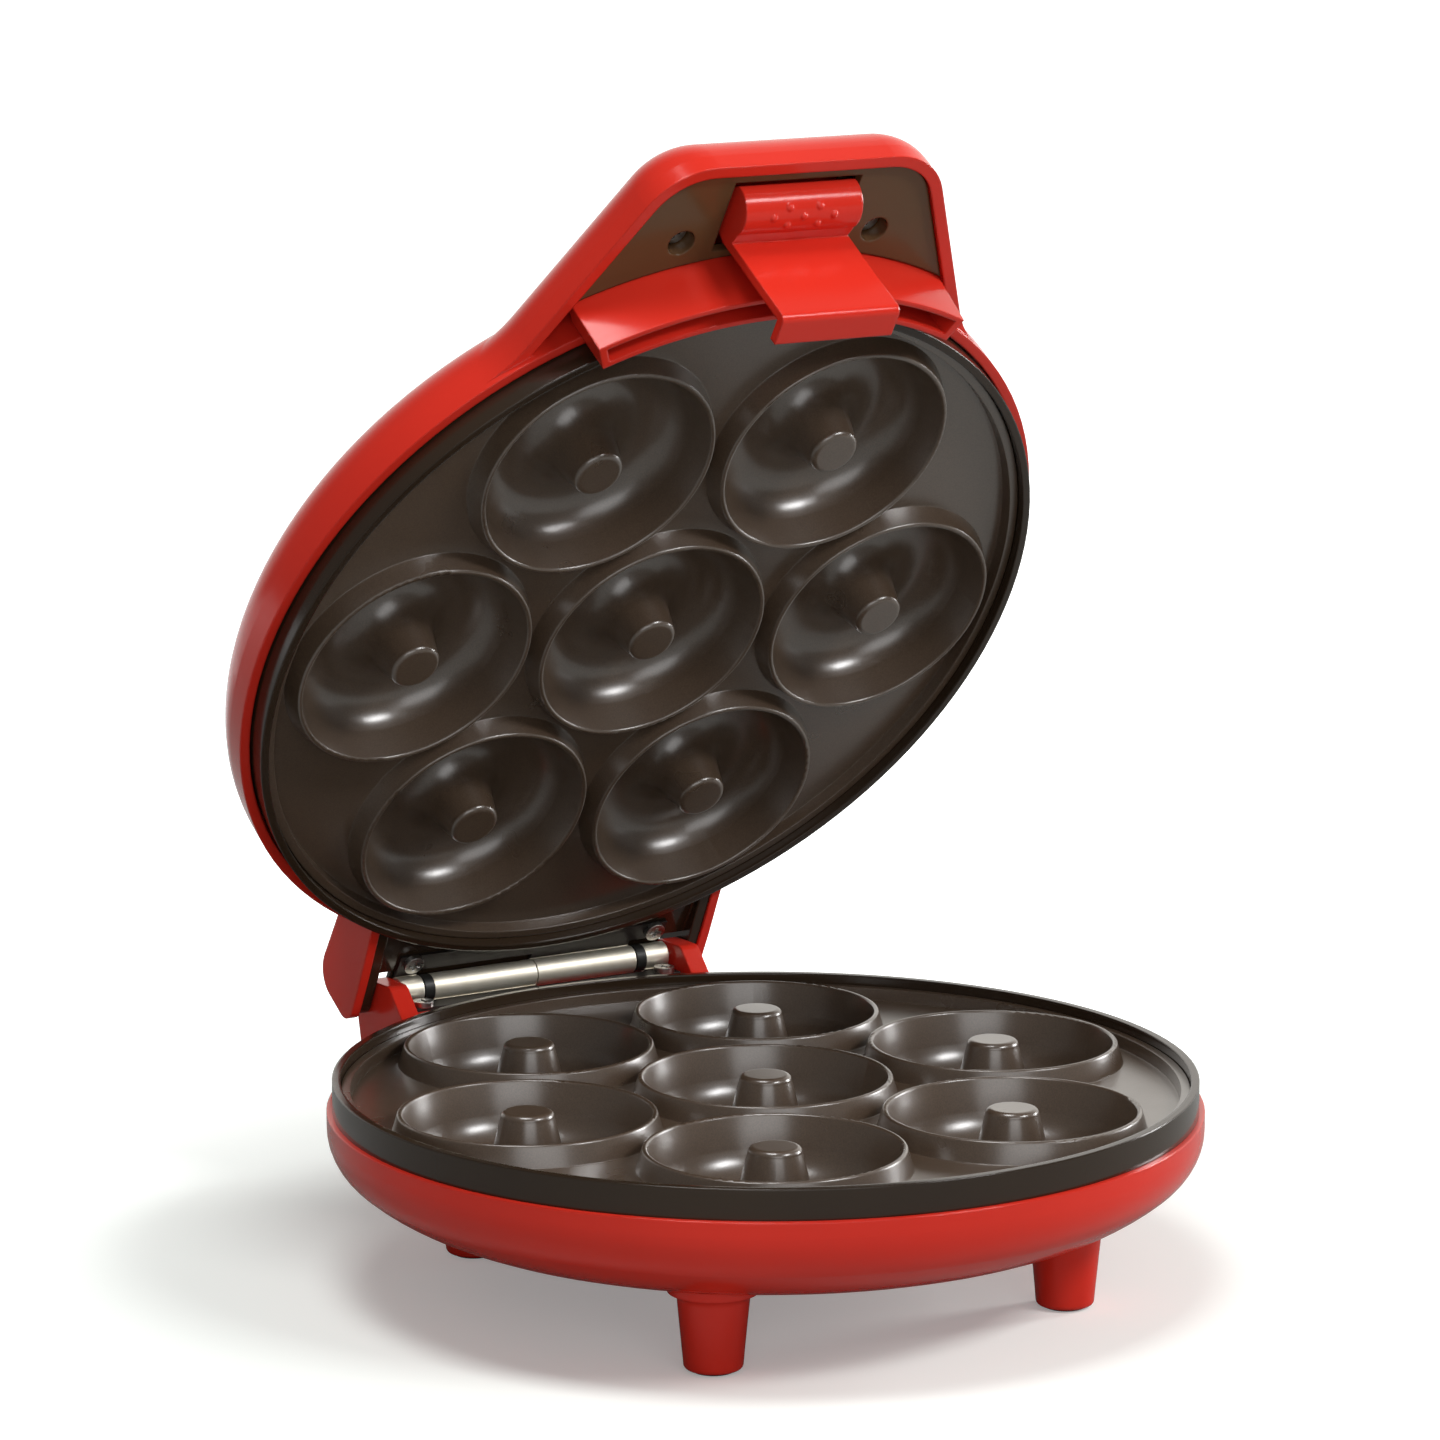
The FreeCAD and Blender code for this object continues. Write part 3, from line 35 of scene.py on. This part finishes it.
# %% [markdown]
# ## The two frames
#
# The real lid swings on a pin behind the plates, and here it stands open. A place on the lid is easiest
# to give with the lid shut, in millimetres from the axis of the plates, so it is given that way and then
# turned about the hinge. The record holds the hinge, and the axis of the plates lies a known way in front
# of it.

# %% Frames
MM = 0.001
OPEN_ANGLE = math.radians(57.3)
HINGE_BACK = 110.4
HINGE_RISE = 1.3
hinge = next(joint for joint in frame["joints"] if joint["name"] == "lid_hinge")
HINGE = np.array(hinge["pos_m"])
AXIS = HINGE - np.array([0, HINGE_BACK, HINGE_RISE]) * MM


def base_point(points):
    """Row-frame metres of points in millimetres on the plate axis: p = axis + points / 1000."""
    return AXIS + np.asarray(points, float) * MM


def lid_point(points):
    """Row-frame metres of points of the shut lid after it swings open about the hinge by a:
    y' = cos a (y - yh) + sin a (z - zh), z' = -sin a (y - yh) + cos a (z - zh)."""
    away = base_point(points) - HINGE
    c, s = math.cos(OPEN_ANGLE), math.sin(OPEN_ANGLE)
    x, y, z = away[..., 0], away[..., 1], away[..., 2]
    return HINGE + np.stack([x, c * y + s * z, c * z - s * y], axis=-1)


print("plate axis", AXIS, "hinge", HINGE)

# %% [markdown]
# ## Camera
#
# A camera can be placed by eye, but the rings of the plates are circles of known size, so their ellipses
# in the picture give its place and lens. It stands far off with a long lens, a little to the left and a
# little above.

# %% Camera
CAMERA_TARGET = base_point([-12.47, 0, 85.3])
CAMERA_AZIMUTH = math.radians(-31.49)
CAMERA_ELEVATION = math.radians(11.18)
CAMERA_DISTANCE = 1.39635
CAMERA_LENS = 151.87
CAMERA_SENSOR = 36
CAMERA_CLIP = 100

camera = bpy.data.objects.new("camera", bpy.data.cameras.new("camera"))
scene.collection.objects.link(camera)
flat = math.cos(CAMERA_ELEVATION)
away = Vector((math.sin(CAMERA_AZIMUTH) * flat, -math.cos(CAMERA_AZIMUTH) * flat, math.sin(CAMERA_ELEVATION)))
camera.location = Vector(CAMERA_TARGET) + away * CAMERA_DISTANCE
camera.rotation_euler = away.to_track_quat("Z", "Y").to_euler()
camera.data.sensor_width = CAMERA_SENSOR
camera.data.lens = CAMERA_LENS
camera.data.clip_end = CAMERA_CLIP
scene.camera = camera
print("camera at", tuple(round(v, 4) for v in camera.location))

# %% [markdown]
# ## Materials
#
# Colours are written as they look on screen and turned to linear light in one place. Patterns are noise
# in object space, which needs no UV map and stays on the piece when it moves. Object space is in metres,
# so noise of scale s has features of about 1 / s metres, and each scale is worked out from a size in
# millimetres.

# %% Material helpers
PER_METRE = 1000
MIDDLE = {"From Min": 0.3, "From Max": 0.7}


def linear(code):
    """A hex screen colour as linear RGBA: c / 12.92 when c <= 0.04045, else ((c + 0.055) / 1.055) ^ 2.4."""
    code = code.lstrip("#")
    screen = np.array([int(code[i:i + 2], 16) for i in (0, 2, 4)]) / 255
    light = np.where(screen <= 0.04045, screen / 12.92, ((screen + 0.055) / 1.055) ** 2.4)
    return (*light, 1.0)


def add(tree, kind, sockets=None, **settings):
    """One node. Settings are its own properties. A socket gets a link where its value is the output of
    another node, and a plain value otherwise."""
    node = tree.nodes.new(f"ShaderNode{kind}")
    for name, value in settings.items():
        setattr(node, name, value)
    for name, value in (sockets or {}).items():
        if isinstance(value, bpy.types.NodeSocket):
            tree.links.new(value, node.inputs[name])
        else:
            node.inputs[name].default_value = value
    return node


def material(name):
    """A new material with its node tree, its Principled shader and its object coordinates."""
    made = bpy.data.materials.new(name)
    made.use_nodes = True
    tree = made.node_tree
    shader = tree.nodes["Principled BSDF"]
    place = add(tree, "TexCoord").outputs["Object"]
    return made, tree, shader, place


def paint(tree, shader, pattern, first, second):
    """Base colour that goes from one screen colour to another as the middle values of a pattern go up."""
    level = add(tree, "MapRange", {"Value": pattern, **MIDDLE}).outputs["Result"]
    colour = add(tree, "Mix", {"Factor": level, "A": linear(first), "B": linear(second)}, data_type="RGBA")
    tree.links.new(colour.outputs["Result"], shader.inputs["Base Color"])
    return colour.outputs["Result"]


def vary_gloss(tree, shader, pattern, low, high):
    """Roughness that goes from low to high as the middle values of a pattern go up."""
    level = add(tree, "MapRange", {"Value": pattern, **MIDDLE, "To Min": low, "To Max": high})
    tree.links.new(level.outputs["Result"], shader.inputs["Roughness"])


print("material helpers ready")

# %% [markdown]
# ### Edges and the crown of the lid
#
# Real edges are never sharp, so a Bevel node rounds the normals there, and Bump adds a fine relief. The
# dome of the lid is one smooth moulding, but its mesh has a pole in the middle whose normal is off. The
# mesh isn't changed: the dome is nearly a sphere there, so the true normal is the axis of the lid plus a
# lean that grows with the distance.

# %% Edges and crown
EDGE_SAMPLES = 6
CROWN_TOP = 40.256
CROWN_SLOPE = 2.97
CROWN_RING = 9.43 * MM
CROWN_BLEND = 12 * MM
CROWN_SKIN = 1.2 * MM


def crown_normal(tree, place, normal):
    """The normal of the lid's dome near its middle: the axis of the dome, plus the way out from that axis
    times the slope that the dome gains per metre. Outside the ring, and on the inner skin, the given normal
    stays."""
    top = lid_point([0, 0, CROWN_TOP])
    up = (lid_point([0, 0, CROWN_TOP + 1]) - top) / MM
    from_top = add(tree, "VectorMath", {0: place, 1: top}, operation="SUBTRACT").outputs["Vector"]
    along = add(tree, "VectorMath", {0: from_top, 1: up}, operation="DOT_PRODUCT").outputs["Value"]
    lifted = add(tree, "VectorMath", {0: up, "Scale": along}, operation="SCALE").outputs["Vector"]
    out = add(tree, "VectorMath", {0: from_top, 1: lifted}, operation="SUBTRACT").outputs["Vector"]
    tilt = add(tree, "VectorMath", {0: out, "Scale": CROWN_SLOPE}, operation="SCALE").outputs["Vector"]
    leaning = add(tree, "VectorMath", {0: tilt, 1: up}, operation="ADD").outputs["Vector"]
    turned = add(tree, "VectorTransform", {"Vector": leaning}, vector_type="NORMAL",
                 convert_from="OBJECT", convert_to="WORLD").outputs["Vector"]
    unit = add(tree, "VectorMath", {0: turned}, operation="NORMALIZE").outputs["Vector"]
    reach = add(tree, "VectorMath", {0: out}, operation="LENGTH").outputs["Value"]
    outside = add(tree, "MapRange", {"Value": reach, "From Min": CROWN_RING, "From Max": CROWN_BLEND})
    inner = add(tree, "Math", {0: along, 1: -CROWN_SKIN}, operation="LESS_THAN").outputs[0]
    own = add(tree, "Math", {0: outside.outputs["Result"], 1: inner}, operation="MAXIMUM").outputs[0]
    return add(tree, "Mix", {"Factor": own, "A": unit, "B": normal}, data_type="VECTOR").outputs["Result"]


def soft_edges(tree, shader, radius_mm, height=None, strength=0.0, depth_mm=0.05, crown=None):
    """Rounds the edges seen by light and, with a height, adds a fine relief. With a crown's coordinates, the
    dome of the lid gets its own normal first."""
    normal = add(tree, "Bevel", {"Radius": radius_mm * MM}, samples=EDGE_SAMPLES).outputs["Normal"]
    if crown is not None:
        normal = crown_normal(tree, crown, normal)
    if height is not None:
        relief = {"Height": height, "Normal": normal, "Strength": strength, "Distance": depth_mm * MM}
        normal = add(tree, "Bump", relief).outputs["Normal"]
    tree.links.new(normal, shader.inputs["Normal"])


print("crown of the lid at", lid_point([0, 0, CROWN_TOP]))

# %% [markdown]
# ### Mouldings
#
# The shells are ABS from a polished mould: an even red with a high gloss, and a faint waviness where the
# plastic shrank. The bands and the handle insert are phenolic, which stands the heat of the plates, brown
# to nearly black and as smooth. One function makes them all, because only colour and gloss differ.

# %% Plastics
WAVE_MM = 60
GRAIN_MM = 0.9
RED = ("#cf2c1f", "#d83022")


def moulded(name, first, second, roughness, gloss, crown=False):
    """Polished moulded plastic: a slow drift of colour, a fine grain in the gloss, and a faint waviness."""
    made, tree, shader, place = material(name)
    wave = {"Vector": place, "Scale": PER_METRE / WAVE_MM, "Detail": 3}
    drift = add(tree, "TexNoise", wave).outputs["Fac"]
    paint(tree, shader, drift, first, second)
    fine = {"Vector": place, "Scale": PER_METRE / GRAIN_MM, "Detail": 4}
    grain = add(tree, "TexNoise", fine).outputs["Fac"]
    vary_gloss(tree, shader, grain, roughness * 0.85, roughness * 1.2)
    shader.inputs["Specular IOR Level"].default_value = gloss
    soft_edges(tree, shader, 0.7, drift, 0.25, 0.2, place if crown else None)
    return made


red_plastic = moulded("red_abs_plastic", *RED, 0.17, 0.3)
lid_plastic = moulded("red_abs_lid", *RED, 0.17, 0.3, crown=True)
dark_plastic = moulded("brown_black_phenolic", "#2a1f16", "#31251a", 0.16, 0.4)
# The insert's lighter brown is painted reflection: the same phenolic as the bands, made lighter where it
# faces the bright floor.
phenolic_painted_reflection = moulded("lighter_phenolic_painted_reflection", "#5a4029", "#62462e", 0.2, 0.3)
print("plastics", red_plastic.name, lid_plastic.name, dark_plastic.name, phenolic_painted_reflection.name)

# %% [markdown]
# ### Non-stick plates
#
# The plates are cast aluminium under a sprayed and baked non-stick coat. It hides the metal, so it isn't
# a metal here: a warm brown-black with a fine speckle, a cloudy satin gloss, an orange-peel relief about
# a millimetre across, and a thin clear layer that gives the long highlights in the rings.

# %% Plates
SPECKLE_MM = 0.35
CLOUD_MM = 18
PEEL_MM = 1.1


def nonstick():
    """A sprayed coat: fine speckle in colour, cloudy gloss, orange-peel relief and a clear layer on top."""
    made, tree, shader, place = material("nonstick_coat")
    fine = {"Vector": place, "Scale": PER_METRE / SPECKLE_MM, "Detail": 2}
    speckle = add(tree, "TexNoise", fine).outputs["Fac"]
    paint(tree, shader, speckle, "#43352a", "#544436")
    broad = {"Vector": place, "Scale": PER_METRE / CLOUD_MM, "Detail": 3}
    cloud = add(tree, "TexNoise", broad).outputs["Fac"]
    vary_gloss(tree, shader, cloud, 0.27, 0.33)
    shader.inputs["Specular IOR Level"].default_value = 0.9
    shader.inputs["Coat Weight"].default_value = 0.7
    shader.inputs["Coat Roughness"].default_value = 0.24
    bumps = {"Vector": place, "Scale": PER_METRE / PEEL_MM, "Detail": 2}
    peel = add(tree, "TexNoise", bumps).outputs["Fac"]
    soft_edges(tree, shader, 0.5, peel, 0.18, 0.06)
    return made


plate_coat = nonstick()
print("plates", plate_coat.name)

# %% [markdown]
# ### Hinge leaves
#
# Each leaf of the hinge is one steel sheet whose edge is rolled into a barrel. The barrel is bright nickel,
# and the flat under the plates is painted black as painted shade, standing in for the dark seen behind the
# barrel. Two pieces would need a seam, so one material changes where the distance from the hinge axis passes
# the radius of the barrel.

# %% Hinge
BARREL = 3.4 * MM
NICKEL_MM = 3


def barrel_and_painted_shade_leaf():
    """Nickel on the rolled barrel and black painted shade on the flat: the shade goes from 0 to 1 just
    outside the barrel, and the metal is one minus the shade."""
    made, tree, shader, place = material("nickel_barrel_painted_shade_leaf")
    from_pin = add(tree, "VectorMath", {0: place, 1: HINGE}, operation="SUBTRACT").outputs["Vector"]
    across = add(tree, "VectorMath", {0: from_pin, 1: (0, 1, 1)}, operation="MULTIPLY").outputs["Vector"]
    reach = add(tree, "VectorMath", {0: across}, operation="LENGTH").outputs["Value"]
    edge = {"Value": reach, "From Min": BARREL + 0.05 * MM, "From Max": BARREL + 0.25 * MM}
    leaf_shade = add(tree, "MapRange", edge).outputs["Result"]
    rolled = {"Vector": place, "Scale": PER_METRE / NICKEL_MM, "Detail": 3}
    streak = add(tree, "TexNoise", rolled).outputs["Fac"]
    bright = paint(tree, shader, streak, "#efe8d6", "#f6f0e2")
    # Past the barrel the leaf turns black: painted shade standing in for the dark behind the barrel.
    both = add(tree, "Mix", {"Factor": leaf_shade, "A": bright, "B": linear("#1c1713")}, data_type="RGBA")
    tree.links.new(both.outputs["Result"], shader.inputs["Base Color"])
    metal = add(tree, "Math", {0: 1, 1: leaf_shade}, operation="SUBTRACT").outputs[0]
    tree.links.new(metal, shader.inputs["Metallic"])
    shader.inputs["Roughness"].default_value = 0.5
    soft_edges(tree, shader, 0.25)
    return made


nickel = barrel_and_painted_shade_leaf()
print("hinge", nickel.name)

# %% [markdown]
# ### Plated steel and sheet
#
# Screws and pins are zinc-plated steel, the heat shields are aluminium sheet, and the sheath of the
# heating element has turned dark from heat. All were drawn or rolled, so fine streaks run along them in
# colour and gloss. Stretching the noise along X gives the streaks.

# %% Metals
STREAK_STRETCH = (0.06, 1, 1)


def plated(name, first, second, roughness, streak_mm):
    """Plated sheet or bar: noise stretched along X makes fine streaks in gloss and colour."""
    made, tree, shader, place = material(name)
    stretched = add(tree, "Mapping", {"Vector": place, "Scale": STREAK_STRETCH}).outputs["Vector"]
    fine = {"Vector": stretched, "Scale": PER_METRE / streak_mm, "Detail": 4}
    streak = add(tree, "TexNoise", fine).outputs["Fac"]
    paint(tree, shader, streak, first, second)
    vary_gloss(tree, shader, streak, roughness * 0.8, roughness * 1.25)
    shader.inputs["Metallic"].default_value = 1.0
    soft_edges(tree, shader, 0.25, streak, 0.1, 0.02)
    return made


steel = plated("zinc_plated_steel", "#a9a8a4", "#bdbcb8", 0.3, 0.6)
sheath = plated("element_sheath", "#4c4742", "#5c5650", 0.45, 0.9)
shield = plated("aluminium_sheet", "#b9b9b7", "#c9c9c7", 0.35, 0.8)
print("metals", steel.name, sheath.name, shield.name)

# %% [markdown]
# ### Rubber, nylon and lenses
#
# Foot pads are moulded rubber and the washers are nylon: dull, with a fine grain. The two lenses on the
# lid are clear tinted plastic, half see-through, so that they look deep and not painted.

# %% Small parts
RUBBER_GRAIN_MM = 0.5
LENS_CLOUD_MM = 4


def rubbery(name, first, second, roughness):
    """Rubber or nylon: a dull, fine-grained surface."""
    made, tree, shader, place = material(name)
    fine = {"Vector": place, "Scale": PER_METRE / RUBBER_GRAIN_MM, "Detail": 4}
    grain = add(tree, "TexNoise", fine).outputs["Fac"]
    paint(tree, shader, grain, first, second)
    shader.inputs["Roughness"].default_value = roughness
    soft_edges(tree, shader, 0.3, grain, 0.3, 0.05)
    return made


def tinted(name, first, second):
    """Clear tinted plastic with a little depth: half of the light passes through."""
    made, tree, shader, place = material(name)
    soft = {"Vector": place, "Scale": PER_METRE / LENS_CLOUD_MM, "Detail": 3}
    cloud = add(tree, "TexNoise", soft).outputs["Fac"]
    paint(tree, shader, cloud, first, second)
    shader.inputs["Transmission Weight"].default_value = 0.5
    shader.inputs["Roughness"].default_value = 0.12
    soft_edges(tree, shader, 0.3)
    return made


rubber = rubbery("black_rubber", "#161514", "#1f1e1c", 0.75)
nylon = rubbery("black_nylon", "#131211", "#1b1a18", 0.45)
red_lens = tinted("red_lens", "#c01810", "#d02218")
green_lens = tinted("green_lens", "#2b9236", "#36a542")
lamp_glass = tinted("lamp_glass", "#e4d8c0", "#efe5d2")
print("small parts", rubber.name, nylon.name, red_lens.name, green_lens.name, lamp_glass.name)

# %% [markdown]
# ## Each node gets its finish
#
# The record names a material slot for every node, so one table of slots dresses them all. Two nodes differ
# from their slot: the lid needs the crown, and the insert of the handle, the same phenolic as the bands, gets
# a lighter brown that paints the reflection of the bright floor it faces.

# %% Dress the nodes
BY_SLOT = {"red_plastic": red_plastic, "dark_plastic": dark_plastic, "nonstick_plate": plate_coat,
           "element_sheath": sheath, "shield_sheet": shield, "nickel_plate": nickel, "steel": steel,
           "rubber": rubber, "nylon": nylon, "red_lens": red_lens, "green_lens": green_lens,
           "lamp_glass": lamp_glass}
for part in frame["record"]["subparts"]:
    mesh = nodes[part["node"]].data
    mesh.materials.clear()
    mesh.materials.append(BY_SLOT[part["material_slot"]])
# The insert gets the lighter brown, a painted reflection of the floor it faces.
nodes["handle_insert"].data.materials[0] = phenolic_painted_reflection
nodes["lid_shell"].data.materials[0] = lid_plastic

# %% [markdown]
# ## Floor
#
# A product picture has a white ground that keeps a soft shadow. One large sheet does it: its paper is
# pale to the camera and darker to bounced light, which keeps the underside of the base dark, and it
# clears to white away from the object. Reflections see that white only behind the object, where the white
# backdrop would stand.

# %% Floor sheet
FLOOR_HALF = 30
corners = [(-FLOOR_HALF, -FLOOR_HALF, 0), (FLOOR_HALF, -FLOOR_HALF, 0),
           (FLOOR_HALF, FLOOR_HALF, 0), (-FLOOR_HALF, FLOOR_HALF, 0)]
floor_mesh = bpy.data.meshes.new("floor")
floor_mesh.from_pydata(corners, [], [(0, 1, 2, 3)])
floor = bpy.data.objects.new("floor", floor_mesh)
scene.collection.objects.link(floor)
print("floor", 2 * FLOOR_HALF, "m wide")

# %% Floor paper
BACKDROP_SIDE = (0.6, 0.8, 0)
CLEAR_NEAR, CLEAR_FAR = 0.12, 0.36
BEHIND_NEAR, BEHIND_FAR = 0.2, 0.6
NEAR_LIFT = 0.24

paper, tree, shader, place = material("white_paper")
shader.inputs["Roughness"].default_value = 0.9
shader.inputs["Specular IOR Level"].default_value = 0.0
path = add(tree, "LightPath").outputs
seen = path["Is Camera Ray"]
tone = {"Factor": seen, "A": linear("#a8aaa8"), "B": linear("#eaf0ec")}
tree.links.new(add(tree, "Mix", tone, data_type="RGBA").outputs["Result"], shader.inputs["Base Color"])
reach = add(tree, "VectorMath", {0: place}, operation="LENGTH").outputs["Value"]
clearing = {"Value": reach, "From Min": CLEAR_NEAR, "From Max": CLEAR_FAR}
far = add(tree, "MapRange", clearing, interpolation_type="SMOOTHSTEP").outputs["Result"]
back = add(tree, "VectorMath", {0: place, 1: BACKDROP_SIDE}, operation="DOT_PRODUCT").outputs["Value"]
standing = {"Value": back, "From Min": BEHIND_NEAR, "From Max": BEHIND_FAR}
behind = add(tree, "MapRange", standing, interpolation_type="SMOOTHSTEP").outputs["Result"]
mirrored = {0: path["Is Glossy Ray"], 1: path["Is Transmission Ray"]}
mirrored = add(tree, "Math", mirrored, operation="MAXIMUM").outputs[0]
mirrored = add(tree, "Math", {0: mirrored, 1: behind}, operation="MULTIPLY").outputs[0]
shown = add(tree, "Math", {0: mirrored, 1: seen}, operation="MAXIMUM").outputs[0]
far_lift = add(tree, "Math", {0: shown, 1: far}, operation="MULTIPLY").outputs[0]
near_lift = add(tree, "Math", {0: seen, 1: NEAR_LIFT}, operation="MULTIPLY").outputs[0]
lift = add(tree, "Math", {0: near_lift, 1: far_lift}, operation="ADD").outputs[0]
glow = add(tree, "Emission", {"Strength": lift}).outputs["Emission"]
both = add(tree, "AddShader", {0: shader.outputs["BSDF"], 1: glow}).outputs[0]
tree.links.new(both, tree.nodes["Material Output"].inputs["Surface"])
floor_mesh.materials.append(paper)
print("floor clears to white from", CLEAR_NEAR, "to", CLEAR_FAR, "m")

# %% [markdown]
# ## Room
#
# The room is a weak, warm white light from all sides, which keeps the shadows open. Glossy rays that go
# behind the object also see the white backdrop, as they would in a studio, and nothing else is lit by it.

# %% Room light
ROOM_LIGHT = 0.2
BACKDROP = 0.9
BACKDROP_LOW, BACKDROP_HIGH = 0.35, 0.9

world = bpy.data.worlds.new("studio")
scene.world = world
world.use_nodes = True
tree = world.node_tree
sky = tree.nodes["Background"]
sky.inputs["Color"].default_value = linear("#faf7f1")
ray = add(tree, "TexCoord").outputs["Generated"]
toward = add(tree, "VectorMath", {0: ray, 1: BACKDROP_SIDE}, operation="DOT_PRODUCT").outputs["Value"]
fade = {"Value": toward, "From Min": BACKDROP_LOW, "From Max": BACKDROP_HIGH, "To Max": BACKDROP}
backdrop = add(tree, "MapRange", fade, interpolation_type="SMOOTHSTEP").outputs["Result"]
glossy = add(tree, "LightPath").outputs["Is Glossy Ray"]
shown = add(tree, "Math", {0: glossy, 1: backdrop}, operation="MULTIPLY").outputs[0]
level = add(tree, "Math", {0: shown, 1: ROOM_LIGHT}, operation="ADD").outputs[0]
tree.links.new(level, sky.inputs["Strength"])
print("room light", ROOM_LIGHT, "backdrop", BACKDROP)

# %% [markdown]
# ## Lamps
#
# Four soft boxes light the object. The key stands high in front and to the right, where it makes the long
# highlight in each ring of the lid. One above gives the shadow under the base, one at the right brightens
# that end of the base, and a large weak one in front fills the plates of the lid, which face down.

# %% Lamps


def lamp(name, spot, aim, width, height, power):
    """A soft rectangular lamp at a spot, aimed at a point, in metres and watts."""
    light = bpy.data.lights.new(name, "AREA")
    light.shape = "RECTANGLE"
    light.size = width
    light.size_y = height
    light.energy = power
    made = bpy.data.objects.new(name, light)
    made.location = spot
    made.rotation_euler = (Vector(spot) - Vector(aim)).to_track_quat("Z", "Y").to_euler()
    scene.collection.objects.link(made)
    return made


lamps = [lamp("top_lamp", (-0.35, -0.2, 1.5), (0, 0, 0.05), 0.6, 0.5, 11),
         lamp("key_lamp", (0.55, -1.1, 1.05), (0, 0, 0.12), 0.55, 0.25, 11),
         lamp("right_lamp", (1.7, -0.1, 0.45), (0, 0, 0.08), 0.4, 0.5, 15),
         lamp("front_lamp", (-0.6, -1.6, 0.5), (0, 0, 0.15), 1.3, 0.8, 7)]
print("lamps", [made.name for made in lamps])

# %% [markdown]
# ## Finish
#
# The Standard view shows each colour about as it is written.

# %% Finish
scene.view_settings.view_transform = "Standard"
